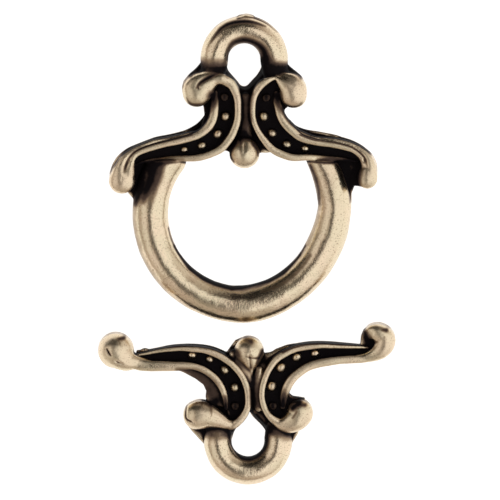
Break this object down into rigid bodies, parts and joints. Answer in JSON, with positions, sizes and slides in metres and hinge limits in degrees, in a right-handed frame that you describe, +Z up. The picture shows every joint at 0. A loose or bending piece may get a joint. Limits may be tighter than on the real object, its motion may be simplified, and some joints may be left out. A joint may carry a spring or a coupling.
{
  "type": "toggle clasp",
  "caption": "Toggle clasp in cast antiqued metal: a hooped ring half and a scrolled bar half, each with an eye for a chain. The bar passes through the hoop and locks across it.",
  "frame": {"origin": "middle of the two halves as they lie, on the surface under their flat backs", "axes": "+X along the bar, to the right; +Y from the bar half to the ring half; +Z up from the surface, out of the decorated face"},
  "size_m": [0.0252, 0.0402, 0.003],
  "materials": {
    "antiqued_metal": "cast, pale brass colour, softly polished on the high spots with dark patina in the recesses"
  },
  "bodies": {
    "root": {"clasp_ring": "antiqued_metal", "toggle_bar": "antiqued_metal"}
  },
  "joints": []
}
